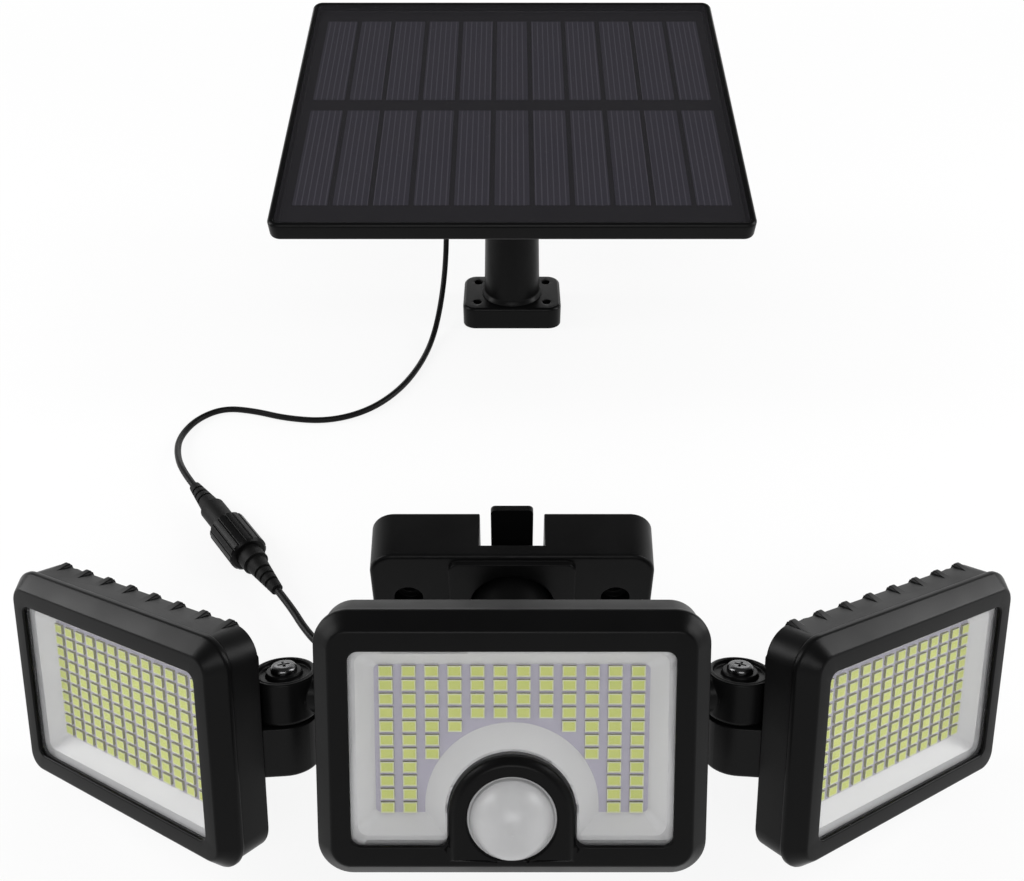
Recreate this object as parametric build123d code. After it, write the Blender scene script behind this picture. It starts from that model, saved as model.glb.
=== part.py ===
from build123d import *
import math
import os

os.makedirs("parts", exist_ok=True)

# Three-head solar floodlight with a separate panel, in millimetres and degrees.
# +X is to the viewer's right, +Y runs from the viewer into the wall, +Z is up.
# The origin is the middle of the wall plate's back face.

# Head outline and its layers, counted back from the front plane of the bezel
head_width = 98.0
head_height = 69.0
head_corner = 9.0
border_side = 9.0
border_end = 9.4
bezel_depth = 6.0
bezel_chamfer = 4.2
rim_depth = 15.5
head_depth = 21.5
seam_step = 0.8
window_corner = 2.6
insert_margin = 1.7
insert_play = 0.2
lip_thickness = 1.5
sheet_thickness = 1.5
reflector_depth = 4.0
reflector_flange = 1.4
reflector_inset = 5.5
reflector_floor_corner = 1.4
board_thickness = 1.6
ledge_width = 7.0
shell_wall = 2.0
slope_wall = 4.0
rim_flat = 3.7
back_slope_run = 9.0
back_corner = 4.5

# Cooling ribs down the back of each rear housing; only those of the side heads rise over the rim
rib_count = 8
rib_pitch = 11.0
rib_width = 2.6
rib_height = 1.4
rib_run = 6.0
side_rib_stand = 1.1
centre_rib_stand = -1.8

# Light-emitting chips, the common 3.5 by 2.8 size, and their margins on the floor of the reflector
chip_width = 3.5
chip_height = 2.8
chip_thickness = 0.8
centre_columns = 12
centre_rows = 11
centre_margin_x = 1.29
centre_margin_y = 0.2
side_columns = 13
side_rows = 10
side_margin_x = 0.5
side_margin_y = 1.0
chip_to_arch = 0.15

# Motion sensor in its black collar
sensor_rise = 7.5
collar_radius = 15.9
collar_stand = 1.0
collar_chamfer = 1.6
collar_play = 0.3
collar_root = 3.0
arch_wall = 0.9
arch_inset = 5.2
dome_radius = 10.6
dome_rise = 7.9
dome_wall = 0.8
dome_flange = 0.5
dome_flange_thickness = 1.0
sensor_can_radius = 4.6
sensor_can_height = 4.4
sensor_can_chamfer = 0.5

# Seal and screws of each head
seal_width = 1.2
seal_thickness = 1.0
seal_gap = 0.5
head_screw_inset = 15.5
head_screw_wall = 0.35
head_screw_radius = 1.45
head_screw_head_radius = 2.7
head_screw_head_height = 2.0
head_screw_sink = 1.5
head_screw_tip = 2.4
screw_play = 0.1
screw_end_play = 1.0

# Mode button in the back wall of the centre head
button_inset = 11.5
button_y = -8.0
button_radius = 4.0
button_rounding = 0.6
button_flange = 1.0
button_flange_thickness = 1.2
button_stand = 1.6
button_travel = 1.0
switch_side = 6.0

# Wall base and neck
base_width = 95.0
base_height = 66.0
base_depth = 20.5
base_corner = 8.0
base_rounding = 1.5
base_taper = 2.56
plate_thickness = 3.0
plate_margin = 2.0
pad_half_width = 20.5
pad_height = 2.0
pad_corner = 3.0
notch_width = 21.6
notch_depth = 15.2
notch_drop = 15.0
tab_width = 14.2
tab_rise = 3.5
tab_thickness = 2.4
tab_rounding = 1.6
wall_hole_inset = 13.3
wall_hole_drop = 19.0
wall_hole_radius = 2.25
wall_recess_radius = 4.7
wall_recess_depth = 5.0
back_screw_clear = 5.0
back_screw_rise = 21.0
back_screw_reach = 12.0
battery_radius = 7.1
battery_length = 50.0
battery_rise = 15.5
battery_play = 0.3
battery_rounding = 0.6
terminal_radius = 3.0
terminal_height = 1.5
circuit_width = 26.0
circuit_height = 14.0
circuit_inset = 18.0
circuit_rise = 34.5
circuit_pocket_floor = 12.0
controller_side = 6.0
controller_height = 1.2
coil_side = 5.0
coil_height = 2.5
circuit_spread = 5.0
neck_height = 12.0
neck_reach = 88.1
neck_root_radius = 13.4
neck_tip_radius = 9.5
neck_cone_length = 36.0
neck_socket_depth = 6.0
neck_socket_play = 0.4
neck_screw_radius = 2.5
neck_screw_seat = 10.0
neck_screw_bite = 13.0
tongue_width = 13.0
hinge_radius = 9.0
hinge_gap = 0.3
ear_thickness = 5.0
tilt_bolt_radius = 2.5
running_gap = 0.05
bolt_head_radius = 4.6
bolt_head_height = 3.2

# Where the head hangs on the neck, and how it leans in the photographed pose
pivot_rise = 10.5
pivot_stand = 10.5
head_lean = 30.0

# Side arms: a tilting stub in the centre head's lug and an upright swivel
lug_inset = 1.0
lug_width = 8.0
lug_radius = 8.5
stub_length = 16.0
swivel_stand = 16.5
axle_radius = 4.0
stub_radius = 5.8
knuckle_radius = 9.0
knuckle_height = 13.0
knuckle_rounding = 1.5
knuckle_chamfer = 0.6
knuckle_groove_depth = 1.5
knuckle_rim_width = 1.6
knuckle_boss_radius = 5.0
arm_height = 15.0
arm_floor = 2.0
arm_rounding = 1.2
arm_axis_inset = 3.0
arm_axis_stand = 10.6
arm_axis_rise = 10.9
arm_root = 12.0
arm_screw_head_radius = 5.0
pivot_screw_radius = 2.0
pivot_screw_head_radius = 3.8
pivot_screw_head_height = 2.2
pivot_screw_rounding = 1.0
side_tilt = 5.5
side_swivel = 34.5

# Solar panel on its foot
panel_width = 215.0
panel_length = 181.0
panel_thickness = 8.5
panel_corner = 5.0
panel_rounding = 1.5
panel_chamfer = 1.0
panel_frame_width = 2.6
panel_tilt = 15.3
panel_y = 239.0
panel_z = 84.75
glass_thickness = 2.6
glass_drop = 0.4
glass_play = 0.3
glass_ledge = 2.0
cell_columns = 11
cell_rows = 2
cell_gap_x = 2.45
cell_gap_y = 9.0
cell_margin_x = 4.3
cell_margin_back = 9.9
cell_margin_front = 12.9
cell_thickness = 0.4
cell_gap_to_glass = 0.2
bracket_width = 40.0
bracket_length = 52.0
bracket_thickness = 3.0
bracket_corner = 4.0
bracket_screw_inset = 4.5
panel_pivot_drop = 14.0
box_width = 26.0
box_length = 44.0
box_depth = 11.0
box_corner = 4.0
box_rounding = 2.0
box_x = -35.0
foot_width = 54.0
foot_length = 38.0
foot_thickness = 12.5
foot_corner = 7.0
foot_chamfer = 1.2
foot_hole_inset = 8.0
foot_hole_radius = 2.25
foot_screw_bite = 10.0
post_foot_radius = 15.3
post_top_radius = 13.6
post_flare_radius = 16.8
post_flare_height = 2.5
panel_hinge_radius = 9.0

# Cord, glands and the screwed connector between panel and lamp
cord_radius = 1.5
bend_share = 0.45
gland_nut_radius = 6.0
gland_nut_length = 4.0
gland_tail_length = 5.0
gland_tail_root_radius = 4.4
gland_tail_radius = 2.6
gland_spigot_radius = 4.0
base_gland_depth = 11.6
base_gland_rise = 9.0
base_gland_spigot = 6.0
connector_start = (-138.0, 81.0, -24.8)
connector_end = (-91.0, 20.0, -24.8)
plug_tail_length = 18.0
plug_body_radius = 5.2
plug_tail_tip_radius = 2.4
plug_tail_root_radius = 4.3
tail_grooves = 3
tail_groove_width = 1.2
tail_groove_depth = 0.5
nut_radius = 7.8
nut_length = 21.0
nut_shift = 4.0
nut_chamfer = 1.0
nut_ridges = 16
nut_ridge_depth = 0.5
nut_play = 0.2

# Route of the cord, from the panel's gland to the plug
panel_cord_route = [
    (-35.0, 245.40, 61.36),
    (-35.0, 250.41, 43.04),
    (-35.6, 252.0, 16.0),
    (-36.8, 246.0, -6.0),
    (-39.5, 231.0, -23.0),
    (-43.0, 209.0, -31.0),
    (-48.5, 184.0, -31.4),
    (-57.5, 162.0, -31.4),
    (-71.0, 145.5, -31.4),
    (-89.0, 137.5, -31.4),
    (-109.0, 139.5, -31.4),
    (-127.0, 146.0, -31.4),
    (-142.0, 148.0, -31.4),
    (-153.0, 139.0, -31.3),
    (-157.0, 123.0, -30.2),
    (-153.0, 106.0, -27.2),
    (-145.6, 90.9, -24.8),
    (-138.0, 81.0, -24.8),
]

# Route of the lamp's own short lead, from the socket to the base
lamp_cord_route = [
    (-91.0, 20.0, -24.8),
    (-83.7, 10.5, -24.8),
    (-77.3, 0.4, -24.7),
    (-70.4, -8.0, -24.4),
    (-62.8, -11.6, -24.0),
    (-55.8, -11.6, -24.0),
]

# Layer planes inside a head, and places that follow from the sizes above
window_width = head_width - 2 * border_side
window_height = head_height - 2 * border_end
sheet_front = -lip_thickness
sheet_back = sheet_front - sheet_thickness
board_front = sheet_back - reflector_depth
board_back = board_front - board_thickness
insert_width = window_width + 2 * insert_margin
insert_height = window_height + 2 * insert_margin
insert_corner = window_corner + insert_margin
filling_width = insert_width - 2 * insert_play
filling_height = insert_height - 2 * insert_play
seal_edge = seal_gap + seal_width
back_inset = 2 * (rim_flat + seam_step + back_slope_run)
button_x = (head_width - back_inset) / 2 - button_inset
sensor_height = sensor_rise - window_height / 2
head_screw_x = head_width / 2 - head_screw_inset
head_screw_y = insert_height / 2 + seal_edge + head_screw_radius + screw_play + head_screw_wall
head_screw_seat = rim_depth - head_screw_sink
pivot_below_middle = head_height / 2 - pivot_rise
pivot_behind_front = head_depth + pivot_stand
lug_outer = head_width / 2 - lug_inset
lug_inner = lug_outer - lug_width
swivel_x = lug_outer + stub_length
swivel_behind_front = head_depth + swivel_stand
arm_axis_depth = rim_depth + arm_axis_stand
table = -base_height / 2
wall_hole_x = base_width / 2 - wall_hole_inset
wall_hole_z = base_height / 2 - wall_hole_drop
back_screw_x = battery_length / 2 + back_screw_clear
back_screw_z = table + back_screw_rise
battery_middle = plate_thickness + battery_radius + battery_play
neck_seat = base_depth + pad_height - neck_socket_depth
bracket_hole = (bracket_width / 2 - bracket_screw_inset, bracket_length / 2 - bracket_screw_inset)
foot_hole = (foot_width / 2 - foot_hole_inset, foot_length / 2 - foot_hole_inset)
hinge_reach = tongue_width / 2 + hinge_gap + ear_thickness


def slab(width, height, corner, low, high):
    """Rounded rectangular plate between two heights."""
    return extrude(Plane.XY.offset(low) * RectangleRounded(width, height, corner), high - low)


def rod(direction, radius, start, end, at=(0, 0, 0)):
    """Round bar along a direction, between two distances from a point."""
    return extrude(Plane(origin=at, z_dir=direction).offset(start) * Circle(radius), end - start)


def cone(direction, start_radius, end_radius, start, end, at=(0, 0, 0)):
    """Tapered round bar along a direction, between two distances from a point."""
    plane = Plane(origin=at, z_dir=direction)
    return loft([plane.offset(start) * Circle(start_radius), plane.offset(end) * Circle(end_radius)])


def at_corners(shape, x, y):
    """Four copies of a shape, mirrored about both middle lines."""
    return [Pos(sx * x, sy * y, 0) * shape for sx in (-1, 1) for sy in (-1, 1)]


def arch(radius, bottom):
    """Arched outline round the motion sensor, with straight legs down to a height."""
    crown = Circle(radius) & Pos(0, radius / 2) * Rectangle(2 * radius, radius)
    leg = sensor_height - bottom
    return Pos(0, sensor_height) * (crown + Pos(0, -leg / 2) * Rectangle(2 * radius, leg))


def save(node, shape):
    """Writes one piece, or one group of like pieces, under its node name."""
    export_step(shape, f"parts/{node}.step")


# Pieces of a head, each drawn flat with +Z towards the viewer and the window's middle at zero


def bezel(with_sensor):
    frame = slab(head_width, head_height, head_corner, -bezel_depth, 0)
    frame = chamfer(frame.edges().group_by(Axis.Z)[-1], bezel_chamfer)
    frame -= slab(insert_width, insert_height, insert_corner, -bezel_depth, sheet_front)
    frame -= slab(window_width, window_height, window_corner, sheet_front, 0)
    if with_sensor:
        back = Plane.XY.offset(-bezel_depth)
        front_end = -insert_height / 2 - insert_margin
        collar = extrude(back * arch(collar_radius, front_end), bezel_depth + collar_stand)
        collar = chamfer(collar.edges().group_by(Axis.Z)[-1].sort_by(Axis.Y)[1:], collar_chamfer)
        back_end = -insert_height / 2 + collar_play
        collar += extrude(back * arch(collar_radius, back_end), bezel_depth + board_front + collar_play)
        frame += collar
        root_y = collar_root - window_height / 2
        for side in (-1, 1):
            root_x = side * (collar_radius + collar_root)
            web = Pos(root_x, root_y) * (Rectangle(2 * collar_root, 2 * collar_root) - Circle(collar_root))
            web &= Pos(side * collar_radius, -window_height / 2) * Rectangle(2 * collar_root, 2 * collar_root)
            frame += extrude(Plane.XY.offset(sheet_front) * web, lip_thickness)
        at = (0, sensor_height, 0)
        bore = dome_radius + screw_play
        frame -= rod((0, 0, 1), bore, board_front, collar_stand, at)
        frame -= rod((0, 0, 1), bore + dome_flange, -dome_flange_thickness, collar_stand, at)
    pilot = rod((0, 0, 1), head_screw_radius + screw_play, -bezel_depth, -head_screw_tip + screw_play)
    return frame - at_corners(pilot, head_screw_x, head_screw_y)


def clear_sheet(with_sensor):
    sheet = slab(filling_width, filling_height, insert_corner, sheet_back, sheet_front)
    if with_sensor:
        cut = arch(collar_radius + collar_play, -filling_height)
        sheet -= extrude(Plane.XY.offset(sheet_back) * cut, sheet_thickness)
    return sheet


def reflector_opening(with_sensor, inset, corner, arch_step):
    opening = RectangleRounded(window_width - 2 * inset, window_height - 2 * inset, corner)
    if with_sensor:
        opening -= arch(collar_radius + arch_wall + arch_step, -window_height)
    return opening


def reflector(with_sensor):
    """Tray whose four sides slope in from the window to the board, with an arch round the sensor."""
    tray = slab(filling_width, filling_height, insert_corner, board_front, sheet_back)
    mouth = reflector_opening(with_sensor, reflector_flange, window_corner, 0)
    floor = reflector_opening(with_sensor, reflector_inset, reflector_floor_corner, arch_inset)
    tray -= loft([Plane.XY.offset(board_front) * floor, Plane.XY.offset(sheet_back) * mouth], ruled=True)
    if with_sensor:
        cut = arch(collar_radius + collar_play, -filling_height)
        tray -= extrude(Plane.XY.offset(board_front) * cut, reflector_depth)
    return tray


def led_board():
    return slab(filling_width, filling_height, insert_corner, board_back, board_front)


def led_chips(columns, rows, margin_x, margin_y, with_sensor):
    """Even grid of chips on the reflector's floor, less those that the arch covers."""
    last_x = window_width / 2 - reflector_inset - margin_x - chip_width / 2
    last_y = window_height / 2 - reflector_inset - margin_y - chip_height / 2
    arch_edge = collar_radius + arch_wall + arch_inset + chip_to_arch
    chip = Pos(0, 0, board_front + chip_thickness / 2) * Box(chip_width, chip_height, chip_thickness)
    chips = []
    for row in range(rows):
        y = last_y * (2 * row / (rows - 1) - 1)
        for column in range(columns):
            x = last_x * (2 * column / (columns - 1) - 1)
            near_x = max(abs(x) - chip_width / 2, 0)
            near_y = max(y - chip_height / 2 - sensor_height, 0)
            if not with_sensor or math.hypot(near_x, near_y) > arch_edge:
                chips.append(Pos(x, y, 0) * chip)
    return Compound(children=chips)


def seal():
    low = -bezel_depth - seal_thickness
    ring = slab(insert_width + 2 * seal_edge, insert_height + 2 * seal_edge,
                insert_corner + seal_edge, low, -bezel_depth)
    return ring - slab(insert_width + 2 * seal_gap, insert_height + 2 * seal_gap,
                       insert_corner + seal_gap, low, -bezel_depth)


def head_screws():
    head_top = -head_screw_seat - head_screw_head_height
    screw = rod((0, 0, 1), head_screw_radius, -head_screw_seat, -head_screw_tip)
    screw += rod((0, 0, 1), head_screw_head_radius, head_top, -head_screw_seat)
    return Compound(children=at_corners(screw, head_screw_x, head_screw_y))


def rear_shell(rib_stand):
    """Rear housing common to all heads: rim, sloping back, ribs, cavity and screw pockets."""
    rim_width = head_width - 2 * seam_step
    rim_height = head_height - 2 * seam_step
    back_width = head_width - back_inset
    back_height = head_height - back_inset
    shell = slab(rim_width, rim_height, head_corner - seam_step, -rim_depth, -bezel_depth)
    slope_foot = RectangleRounded(rim_width - 2 * rim_flat, rim_height - 2 * rim_flat,
                                  head_corner - rim_flat + seam_step)
    slope_top = RectangleRounded(back_width, back_height, back_corner)
    shell += loft([Plane.XY.offset(-head_depth) * slope_top, Plane.XY.offset(-rim_depth) * slope_foot],
                  ruled=True)
    top = rim_height / 2
    rib_floor = -head_depth + shell_wall / 2
    outline = Polygon(
        (top + rib_stand - 2 * rib_height, -rim_depth + rib_run),
        (top + rib_stand - rib_height, -rim_depth + rib_run),
        (top + rib_stand, -rim_depth),
        (back_height / 2, -head_depth - rib_height),
        (0, -head_depth - rib_height),
        (0, rib_floor),
        (back_height / 2 - rib_height, rib_floor),
        align=None,
    )
    upright = Plane(origin=(0, 0, 0), x_dir=(0, 1, 0), z_dir=(1, 0, 0))
    rib = extrude(upright * outline, rib_width / 2, both=True)
    for number in range(rib_count):
        shell += Pos((number - (rib_count - 1) / 2) * rib_pitch, 0, 0) * rib
    shell -= slab(insert_width, insert_height, insert_corner, board_back, -bezel_depth)
    cavity_width = insert_width - 2 * ledge_width
    cavity_height = insert_height - 2 * ledge_width
    shell -= slab(cavity_width, cavity_height, insert_corner, -rim_depth, board_back)
    cavity_top = RectangleRounded(cavity_width, cavity_height, insert_corner)
    cavity_end = RectangleRounded(back_width - 2 * slope_wall, back_height - 2 * slope_wall, back_corner)
    shell -= loft([Plane.XY.offset(-head_depth + shell_wall) * cavity_end,
                   Plane.XY.offset(-rim_depth) * cavity_top], ruled=True)
    shell -= seal()
    pocket = rod((0, 0, 1), head_screw_head_radius + screw_play, -2 * head_depth, -head_screw_seat)
    pocket += rod((0, 0, 1), head_screw_radius + screw_play, -head_screw_seat, -bezel_depth)
    return shell - at_corners(pocket, head_screw_x, head_screw_y)


def centre_rear_housing():
    """Adds the two hinge ears, the side lugs and the button hole to the common shell."""
    shell = rear_shell(centre_rib_stand)
    side_view = Plane(origin=(0, 0, 0), x_dir=(0, 0, 1), z_dir=(-1, 0, 0))
    ear = Pos(-pivot_behind_front, -pivot_below_middle) * Circle(hinge_radius)
    ear += Pos(-(pivot_behind_front + rim_depth) / 2, -pivot_below_middle) * Rectangle(
        pivot_behind_front - rim_depth, 2 * hinge_radius)
    lug_run = swivel_behind_front + board_back
    lug = Pos(-swivel_behind_front, 0) * Circle(lug_radius)
    lug += Pos(-swivel_behind_front + lug_run / 2, 0) * Rectangle(lug_run, 2 * lug_radius)
    ear_solid = extrude(side_view.offset(-hinge_reach) * ear, ear_thickness)
    lug_solid = extrude(side_view.offset(-lug_outer) * lug, lug_width)
    lug_solid -= slab(insert_width, insert_height, insert_corner, board_back, 0)
    lug_solid -= rod((1, 0, 0), axle_radius + running_gap, 0, head_width, (0, 0, -swivel_behind_front))
    for piece in (ear_solid, lug_solid):
        shell += piece
        shell += mirror(piece, about=Plane.YZ)
    pivot = (0, -pivot_below_middle, -pivot_behind_front)
    shell -= rod((1, 0, 0), tilt_bolt_radius + running_gap, -head_width, head_width, pivot)
    return shell - rod((0, 0, 1), button_radius + running_gap, -2 * head_depth, 0, (button_x, button_y, 0))


def side_rear_housing():
    """Adds the swivel arm at the inner edge of the left head to the common shell."""
    shell = rear_shell(side_rib_stand)
    axis_x = head_width / 2 - arm_axis_inset
    swivel_at = (axis_x, 0, -arm_axis_depth)
    arm_top = arm_axis_rise - knuckle_height / 2 - hinge_gap
    knuckle_top = arm_axis_rise + knuckle_height / 2 + hinge_gap
    shell -= rod((0, 1, 0), knuckle_radius + hinge_gap, arm_top, knuckle_top, swivel_at)
    root_depth = -rim_depth + shell_wall / 2
    root = Pos(axis_x - arm_root / 2 - seam_step, root_depth) * Rectangle(arm_root, shell_wall)
    hub = Pos(axis_x, -arm_axis_depth) * Circle(knuckle_radius)
    web = make_hull(root.edges() + hub.edges())
    level = Plane(origin=(0, arm_top, 0), x_dir=(1, 0, 0), z_dir=(0, -1, 0))
    arm = extrude(level * web, arm_height)
    shell += fillet(arm.edges().group_by(Axis.Y)[0], arm_rounding)
    thread_end = arm_top - arm_height + arm_floor
    return shell - rod((0, 1, 0), pivot_screw_radius + screw_play, thread_end, arm_top, swivel_at)


def sensor_dome():
    sphere_radius = (dome_radius ** 2 + dome_rise ** 2) / (2 * dome_rise)
    centre = Pos(0, 0, dome_rise - sphere_radius)
    keep = rod((0, 0, 1), dome_radius, 0, dome_rise)
    dome = keep & (centre * Sphere(sphere_radius))
    hollow = rod((0, 0, 1), dome_radius - dome_wall, 0, dome_rise)
    dome -= hollow & (centre * Sphere(sphere_radius - dome_wall))
    flange = rod((0, 0, 1), dome_radius + dome_flange, -dome_flange_thickness, 0)
    flange -= rod((0, 0, 1), dome_radius - dome_wall, -dome_flange_thickness, 0)
    skirt = rod((0, 0, 1), dome_radius, -bezel_depth, -dome_flange_thickness)
    skirt -= rod((0, 0, 1), dome_radius - dome_wall, -bezel_depth, -dome_flange_thickness)
    return Pos(0, sensor_height, 0) * (dome + flange + skirt)


def sensor_can():
    can = rod((0, 0, 1), sensor_can_radius, board_front, board_front + sensor_can_height)
    can = chamfer(can.edges().group_by(Axis.Z)[-1], sensor_can_chamfer)
    return Pos(0, sensor_height, 0) * can


def mode_button():
    wall_inside = -head_depth + shell_wall
    cap = rod((0, 0, 1), button_radius, -head_depth - button_stand, wall_inside)
    cap = fillet(cap.edges().group_by(Axis.Z)[0], button_rounding)
    flange = rod((0, 0, 1), button_radius + button_flange, wall_inside, wall_inside + button_flange_thickness)
    return Pos(button_x, button_y, 0) * (cap + flange)


def mode_switch():
    low = -head_depth + shell_wall + button_flange_thickness + button_travel + running_gap
    height = board_back - low
    return Pos(button_x, button_y, low + height / 2) * Box(switch_side, switch_side, height)


def hinge_bolt():
    """Bolt along X through a hinge's tongue and ears, its head on the left ear."""
    bolt = rod((1, 0, 0), tilt_bolt_radius, -hinge_reach, hinge_reach)
    return bolt + rod((1, 0, 0), bolt_head_radius, -hinge_reach - bolt_head_height, -hinge_reach)


def hinge_nut():
    face = Plane(origin=(hinge_reach, 0, 0), x_dir=(0, 1, 0), z_dir=(1, 0, 0))
    return extrude(face * RegularPolygon(bolt_head_radius, 6), bolt_head_height)


# Swivel knuckle of the left arm, with its upright axis at zero and the centre head to the right


def knuckle():
    half = knuckle_height / 2
    body = rod((0, 1, 0), knuckle_radius, -half, half)
    body = fillet(body.edges().group_by(Axis.Y)[0], knuckle_rounding)
    body = chamfer(body.edges().group_by(Axis.Y)[-1], knuckle_chamfer)
    stub_end = swivel_x - lug_outer - hinge_gap
    axle_end = swivel_x - lug_inner + hinge_gap
    body += rod((1, 0, 0), stub_radius, knuckle_radius / 2, stub_end)
    body += rod((1, 0, 0), axle_radius, stub_end, axle_end)
    groove = rod((0, 1, 0), knuckle_radius - knuckle_rim_width, half - knuckle_groove_depth, half)
    body -= groove - rod((0, 1, 0), knuckle_boss_radius, half - knuckle_groove_depth, half)
    body -= rod((1, 0, 0), pivot_screw_radius + screw_play, swivel_x - lug_outer, axle_end)
    return body - rod((0, 1, 0), pivot_screw_radius + running_gap, -half, half)


def arm_screw():
    face = swivel_x - lug_inner + hinge_gap
    screw = rod((1, 0, 0), pivot_screw_radius, swivel_x - lug_outer + screw_play, face)
    return screw + rod((1, 0, 0), arm_screw_head_radius, face, face + pivot_screw_head_height)


def pivot_screw():
    """Swivel screw: its head bears on the knuckle's boss and its thread is in the arm below."""
    top = knuckle_height / 2 + screw_play
    tip = -knuckle_height / 2 - hinge_gap - arm_height + arm_floor + screw_play
    screw = rod((0, 1, 0), pivot_screw_radius, tip, top)
    head = rod((0, 1, 0), pivot_screw_head_radius, top, top + pivot_screw_head_height)
    return screw + fillet(head.edges().group_by(Axis.Y)[-1], pivot_screw_rounding)


# Wall base, drawn in place


def wall_plate():
    facing = Plane(origin=(0, 0, 0), x_dir=(1, 0, 0), z_dir=(0, -1, 0))
    width = base_width - 2 * plate_margin
    height = base_height - 2 * plate_margin
    plate = extrude(facing * RectangleRounded(width, height, base_corner - plate_margin), plate_thickness)
    top = base_height / 2
    plate -= Pos(0, -plate_thickness / 2, top) * Box(notch_width, plate_thickness, 2 * notch_drop)
    tab_low = top - notch_drop - plate_margin
    tab_high = top + tab_rise
    tab_middle = Pos(0, -tab_thickness / 2, (tab_low + tab_high) / 2)
    tab = tab_middle * Box(tab_width, tab_thickness, tab_high - tab_low)
    plate += fillet(tab.edges().group_by(Axis.Z)[-1].filter_by(Axis.Y), tab_rounding)
    screw_hole = head_screw_head_radius + screw_play
    for side in (-1, 1):
        wall_at = (side * wall_hole_x, 0, wall_hole_z)
        screw_at = (side * back_screw_x, 0, back_screw_z)
        plate -= rod((0, -1, 0), wall_hole_radius, 0, plate_thickness, wall_at)
        plate -= rod((0, -1, 0), screw_hole, 0, plate_thickness, screw_at)
    return plate


def base_housing():
    back = Plane(origin=(0, 0, 0), x_dir=(1, 0, 0), z_dir=(0, -1, 0))
    wide = back * RectangleRounded(base_width, base_height, base_corner)
    narrow = back.offset(base_depth) * RectangleRounded(base_width - base_taper, base_height, base_corner)
    box = loft([wide, narrow], ruled=True)
    box = fillet(box.edges().group_by(Axis.Y)[0], base_rounding)
    pad = RectangleRounded(2 * pad_half_width, base_height - 2 * pad_height, pad_corner)
    box += extrude(back.offset(base_depth - pad_height) * pad, 2 * pad_height)
    width = base_width - 2 * plate_margin + 2 * insert_play
    height = base_height - 2 * plate_margin + 2 * insert_play
    box -= extrude(back * RectangleRounded(width, height, base_corner - plate_margin), plate_thickness)
    box -= Pos(0, -notch_depth / 2, base_height / 2) * Box(notch_width, notch_depth, 2 * notch_drop)
    cell_half = battery_length / 2 + battery_play
    box -= rod((1, 0, 0), battery_radius + battery_play, -cell_half, cell_half, battery_at)
    pocket_depth = circuit_pocket_floor - plate_thickness
    pocket = Box(circuit_width + 2 * insert_play, pocket_depth, circuit_height + 2 * insert_play)
    box -= Pos(circuit_x, -plate_thickness - pocket_depth / 2, circuit_z) * pocket
    for side in (-1, 1):
        wall_at = (side * wall_hole_x, 0, wall_hole_z)
        screw_at = (side * back_screw_x, 0, back_screw_z)
        box -= rod((0, -1, 0), wall_hole_radius, 0, base_depth, wall_at)
        box -= rod((0, -1, 0), wall_recess_radius, base_depth - wall_recess_depth, base_depth, wall_at)
        box -= rod((0, -1, 0), head_screw_radius + screw_play, 0, back_screw_reach, screw_at)
    neck_at = (0, 0, neck_height)
    box -= rod((0, -1, 0), neck_root_radius + neck_socket_play, neck_seat, 2 * base_depth, neck_at)
    box -= rod((0, -1, 0), neck_screw_radius + screw_play, 0, neck_seat, neck_at)
    box -= rod((0, -1, 0), bolt_head_radius + screw_play, 0, neck_screw_seat, neck_at)
    box -= base_gland_place * rod((0, 0, 1), gland_nut_radius + insert_play, 0, base_taper)
    spigot_hole = rod((0, 0, 1), gland_spigot_radius + running_gap, -base_gland_spigot, base_taper)
    return box - base_gland_place * spigot_hole


def battery_cell():
    half = battery_length / 2
    cell = rod((1, 0, 0), battery_radius, -half, half - terminal_height)
    cell = fillet(cell.edges().filter_by(GeomType.CIRCLE), battery_rounding)
    cell += rod((1, 0, 0), terminal_radius, half - terminal_height, half)
    return Pos(*battery_at) * cell


def charge_board():
    board = Box(circuit_width, board_thickness, circuit_height)
    top = board_thickness / 2
    controller = Box(controller_side, controller_height, controller_side)
    coil = Box(coil_side, coil_height, coil_side)
    board += Pos(-circuit_spread, top + controller_height / 2, 0) * controller
    board += Pos(circuit_spread, top + coil_height / 2, 0) * coil
    return Pos(circuit_x, -circuit_pocket_floor + top, circuit_z) * board


def back_screws():
    screws = []
    head_top = plate_thickness - head_screw_head_height
    for side in (-1, 1):
        at = (side * back_screw_x, 0, back_screw_z)
        screw = rod((0, -1, 0), head_screw_head_radius, head_top, plate_thickness, at)
        screw += rod((0, -1, 0), head_screw_radius, plate_thickness, back_screw_reach - screw_play, at)
        screws.append(screw)
    return Compound(children=screws)


def neck():
    """Tapered stem out of the base, ending in the flat tongue that the centre head tilts on."""
    at = (0, 0, neck_height)
    cone_end = neck_seat + neck_cone_length
    stem = cone((0, -1, 0), neck_root_radius, neck_tip_radius, neck_seat, cone_end, at)
    side = Plane(origin=at, x_dir=(0, -1, 0), z_dir=(1, 0, 0))
    blade_from = cone_end - neck_tip_radius
    blade = Pos(neck_reach, 0) * Circle(hinge_radius)
    blade += Pos((blade_from + neck_reach) / 2, 0) * Rectangle(neck_reach - blade_from, 2 * hinge_radius)
    stem += extrude(side * blade, tongue_width / 2, both=True)
    bolt_hole = rod((1, 0, 0), tilt_bolt_radius + running_gap, -tongue_width, tongue_width)
    stem -= Pos(0, -neck_reach, neck_height) * bolt_hole
    hole_end = neck_seat + neck_screw_bite + screw_end_play
    return stem - rod((0, -1, 0), neck_screw_radius + screw_play, neck_seat, hole_end, at)


def neck_screw():
    at = (0, 0, neck_height)
    screw = rod((0, -1, 0), neck_screw_radius, neck_screw_seat, neck_seat + neck_screw_bite, at)
    head_top = neck_screw_seat - bolt_head_height
    return screw + rod((0, -1, 0), bolt_head_radius, head_top, neck_screw_seat, at)


# Solar panel, drawn flat with +Z out of the glass


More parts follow.
